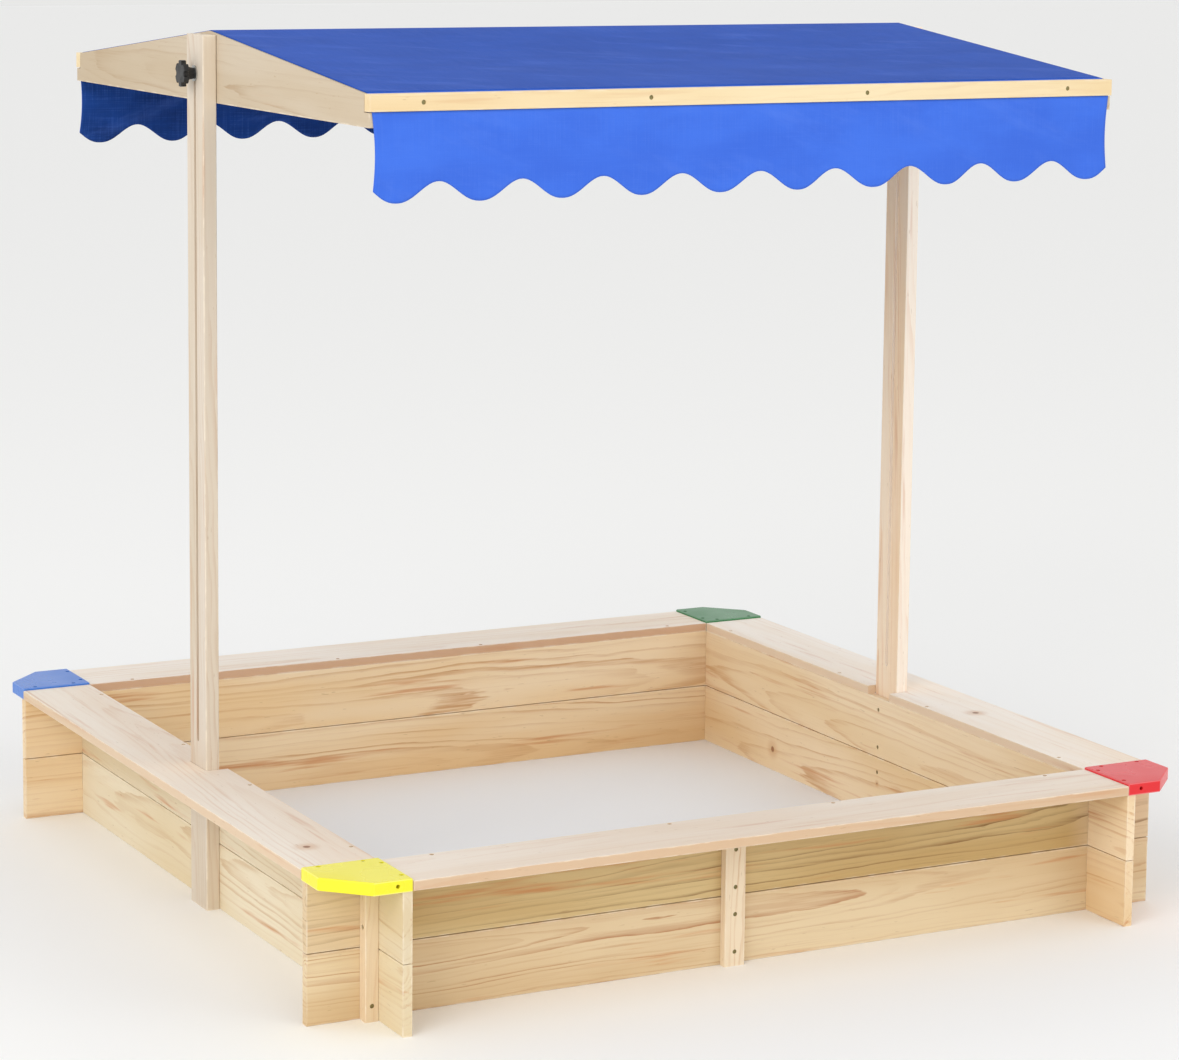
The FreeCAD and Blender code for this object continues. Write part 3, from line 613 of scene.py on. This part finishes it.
def dress_the_rest():
    """Paints the corner pieces, and gives the knobs, bolts and screws their plastic and steel."""
    for name, (main, deep) in PAINTS.items():
        node = name + "_corner_piece"
        dress(node, paint(name + "_gloss_paint", main, deep, node))
    zinc = plated_steel("bright_zinc", "C9C9C4", "A6A6A2", rough=0.28)
    dull = plated_steel("yellow_zinc", "A39A6C", "655F40", rough=0.42)
    plastic = moulded_plastic("black_moulded_plastic")
    for side in ("left", "right"):
        dress(side + "_knob", plastic)
        for piece in ("_bolt", "_washer", "_knob_insert"):
            dress(side + piece, zinc)
    for kind in ("seat", "corner_piece", "corner_batten", "centre_batten", "post", "rail"):
        dress(kind + "_screws", dull)


# ---- canopy cloth ------------------------------------------------------------------------------------
def ease(value, low, high):
    """Smooth step from 0 at low to 1 at high."""
    part = min(1.0, max(0.0, (value - low) / (high - low)))
    return part * part * (3 - 2 * part)


class Canopy:
    """The cloth's line over the timber, taken from the frame."""

    def __init__(self):
        rail_low, rail_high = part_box("front_rail")
        beam_low, beam_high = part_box("front_eave_beam")
        gable_low, gable_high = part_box("right_gable")
        self.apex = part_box("ridge_beam")[1].z
        self.ridge_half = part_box("ridge_beam")[1].y
        self.rail_top = rail_high.z
        self.beam_outer = -beam_low.y
        self.beam_inner = -beam_high.y
        self.gable_inner = gable_low.x
        self.gable_bottom = gable_low.z
        self.slope = (self.apex - self.rail_top) / self.beam_outer
        self.behind_rail = self.beam_outer + CLOTH_LIFT
        self.under_rail = rail_low.z - CLOTH_LIFT
        self.hang = gable_high.y + CLOTH_LIFT
        self.half_width = gable_high.x - SIDE_INSET
        self.eave = (self.behind_rail, self.height(self.behind_rail))
        self.roof_length = math.dist((0, self.height(0)), self.eave)
        self.tuck_down = self.eave[1] - self.under_rail
        self.tuck_out = self.hang - self.behind_rail
        self.drop = self.under_rail - (rail_low.z - VALANCE_DROP)
        self.half_length = self.roof_length + self.tuck_down + self.tuck_out + self.drop

    def height(self, y):
        """Height of the stretched roof at a distance from the ridge."""
        return self.apex - self.slope * abs(y) + CLOTH_LIFT

    def hem_rise(self, x):
        """How far the scalloped edge stands above its lowest points."""
        wave = 0.5 + 0.5 * math.cos(2 * math.pi * x / SCALLOP_PITCH)
        return SCALLOP_HEIGHT * wave ** SCALLOP_POWER

    def roof_sag(self, x, y):
        """Dip between the beams and gables, where nothing holds the cloth up."""
        span_x = ease(self.gable_inner - abs(x), 0.0, SAG_BLEND_X)
        span_y = ease(abs(y), self.ridge_half, SAG_BLEND_Y)
        span_y *= ease(self.beam_inner - abs(y), 0.0, SAG_BLEND_Y)
        rate_x, rate_y = RIPPLE_RATES
        ripple = 0.5 + 0.5 * noise.noise(Vector((x * rate_x, y * rate_y, RIPPLE_SLICE)))
        return span_x * span_y * (ROOF_SAG + ROOF_RIPPLE * ripple)

    def fold(self, x, down, side):
        """Outward throw of the hanging valance at a depth below its rail."""
        depth = (down / self.drop) ** FOLD_POWER
        wave = 0.0
        for share, rate_x, step, rate_down in FOLD_WAVES:
            wave += share * noise.noise(Vector((x * rate_x, side * step, down * rate_down)))
        edge = ease(abs(x), self.half_width - FLARE_WIDTH, self.half_width)
        throw = depth * (FOLD_DEPTH * wave + EDGE_FLARE * edge)
        clear = ease(down, self.under_rail - self.gable_bottom, self.drop * FOLD_CLEAR_SHARE)
        return throw if throw > 0 else throw * clear

    def edge_pull(self, x, down):
        """Side edges of a valance draw in a little at mid height."""
        edge = ease(abs(x), self.half_width - PULL_WIDTH, self.half_width)
        return -math.copysign(EDGE_PULL, x) * edge * math.sin(math.pi * min(1.0, down / self.drop))

    def half_rows(self):
        """Rows of one half from the ridge to the hem: the stretch each is on, and how far along it."""
        rows = [("roof", index / ROOF_ROWS) for index in range(ROOF_ROWS + 1)]
        rows += [("tuck", 0.5), ("under", 0.0), ("under", 0.5)]
        rows += [("valance", index / VALANCE_ROWS) for index in range(VALANCE_ROWS + 1)]
        return rows

    def point(self, x, side, stretch, part):
        """Place of a point and its distance from the ridge along the cut cloth."""
        if stretch == "roof":
            y = self.behind_rail * part
            z = self.height(y) - self.roof_sag(x, y)
            return (x, side * y, z), self.roof_length * part
        start = self.roof_length
        if stretch == "tuck":
            down = self.tuck_down * part
            return (x, side * self.behind_rail, self.eave[1] - down), start + down
        start += self.tuck_down
        if stretch == "under":
            out = self.tuck_out * part
            return (x, side * (self.behind_rail + out), self.under_rail), start + out
        start += self.tuck_out
        down = (self.drop - self.hem_rise(x)) * part
        y = self.hang + self.fold(x, down, side)
        return (x + self.edge_pull(x, down), side * y, self.under_rail - down), start + down


def cloth_mesh(canopy):
    """Grid of the cut cloth from hem to hem, with each point's place on the cut in a UV map."""
    rows = canopy.half_rows()
    lines = [(-1, stretch, part) for stretch, part in reversed(rows)]
    lines += [(1, stretch, part) for stretch, part in rows[1:]]
    xs = [canopy.half_width * (2 * i / CLOTH_COLUMNS - 1) for i in range(CLOTH_COLUMNS + 1)]
    points = []
    cuts = []
    for side, stretch, part in lines:
        for x in xs:
            place, run = canopy.point(x, side, stretch, part)
            points.append(place)
            cuts.append((x, side * run))
    width = len(xs)
    faces = []
    for row in range(len(lines) - 1):
        for column in range(width - 1):
            corner = row * width + column
            faces.append((corner, corner + 1, corner + width + 1, corner + width))
    mesh = bpy.data.meshes.new("canopy_cloth")
    mesh.from_pydata(points, [], faces)
    layer = mesh.uv_layers.new(name=CUT_MAP)
    for loop in mesh.loops:
        layer.data[loop.index].uv = cuts[loop.vertex_index]
    mesh.polygons.foreach_set("use_smooth", [True] * len(mesh.polygons))
    return mesh


def make_cloth():
    """One continuous sheet from hem to hem, with its outer colour above and a darker underside below,
    which is painted shade.
    """
    canopy = Canopy()
    mesh = cloth_mesh(canopy)
    cloth = bpy.data.objects.new("canopy_cloth", mesh)
    bpy.context.scene.collection.objects.link(cloth)
    mesh.materials.append(woven_cloth("blue_cloth", *OUTER_TONES, canopy.roof_length))
    # Darker second material for the sheet's underside: painted shade
    mesh.materials.append(woven_cloth("blue_cloth_underside_shade", *UNDERSIDE_SHADE_TONES, canopy.roof_length))
    skin = cloth.modifiers.new("thickness", "SOLIDIFY")
    skin.thickness = CLOTH_THICKNESS
    skin.offset = 0.0
    skin.material_offset = 1
    skin.material_offset_rim = 0
    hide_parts("canopy_fabric")
    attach(cloth, "canopy")


# ---- stage -------------------------------------------------------------------------------------------
def make_camera():
    """The photograph's view: yaw from the Y axis towards X, pitch downwards, and a slight roll."""
    yaw, pitch, roll = (math.radians(angle) for angle in (CAMERA_YAW, CAMERA_PITCH, CAMERA_ROLL))
    level = math.cos(pitch)
    ahead = Vector((math.sin(yaw) * level, math.cos(yaw) * level, -math.sin(pitch)))
    right = Vector((math.cos(yaw), -math.sin(yaw), 0.0))
    up = right.cross(ahead)
    rolled_right = math.cos(roll) * right + math.sin(roll) * up
    rolled_up = math.cos(roll) * up - math.sin(roll) * right
    data = bpy.data.cameras.new("camera")
    data.sensor_width = SENSOR_MM
    data.lens = FOCAL_PX * SENSOR_MM / IMAGE_WIDTH_PX
    data.shift_y = CAMERA_SHIFT_Y
    camera = bpy.data.objects.new("camera", data)
    turn = Matrix((rolled_right, rolled_up, -ahead)).transposed().to_4x4()
    camera.matrix_world = Matrix.Translation(CAMERA_PLACE) @ turn
    bpy.context.scene.collection.objects.link(camera)
    bpy.context.scene.camera = camera


def make_floor():
    """A plain pale square floor."""
    far = FLOOR_HALF
    corners = [(-far, -far, 0), (far, -far, 0), (far, far, 0), (-far, far, 0)]
    mesh = bpy.data.meshes.new("floor")
    mesh.from_pydata(corners, [], [(0, 1, 2, 3)])
    floor = bpy.data.objects.new("floor", mesh)
    finish = Finish("pale_floor")
    finish.set("Base Color", FLOOR_COLOUR)
    finish.set("Roughness", FLOOR_ROUGHNESS)
    mesh.materials.append(finish.material)
    bpy.context.scene.collection.objects.link(floor)


def area_light(name, place, size, power, tint):
    """A square soft light that faces the middle of the object."""
    data = bpy.data.lights.new(name, "AREA")
    data.size = size
    data.energy = power
    data.color = tint
    lamp = bpy.data.objects.new(name, data)
    lamp.location = place
    aim = Vector(LIGHT_TARGET) - Vector(place)
    lamp.rotation_euler = aim.to_track_quat("-Z", "Y").to_euler()
    bpy.context.scene.collection.objects.link(lamp)


def make_light():
    """Even white surroundings with a pale backdrop, a key light at the left front and a weaker fill."""
    world = bpy.data.worlds.new("studio")
    world.use_nodes = True
    nodes, links = world.node_tree.nodes, world.node_tree.links
    surroundings = nodes["Background"]
    surroundings.inputs["Color"].default_value = SURROUNDINGS_COLOUR
    surroundings.inputs["Strength"].default_value = SURROUNDINGS_STRENGTH
    backdrop = nodes.new("ShaderNodeBackground")
    backdrop.inputs["Color"].default_value = BACKDROP_COLOUR
    choose = nodes.new("ShaderNodeMixShader")
    path = nodes.new("ShaderNodeLightPath")
    links.new(path.outputs["Is Camera Ray"], choose.inputs[0])
    links.new(surroundings.outputs[0], choose.inputs[1])
    links.new(backdrop.outputs[0], choose.inputs[2])
    links.new(choose.outputs[0], nodes["World Output"].inputs["Surface"])
    bpy.context.scene.world = world
    area_light("key", **KEY_LIGHT)
    area_light("fill", **FILL_LIGHT)
    bpy.context.scene.view_settings.view_transform = "Standard"


make_camera()
make_floor()
make_light()
dress_timber()
dress_the_rest()
make_cloth()
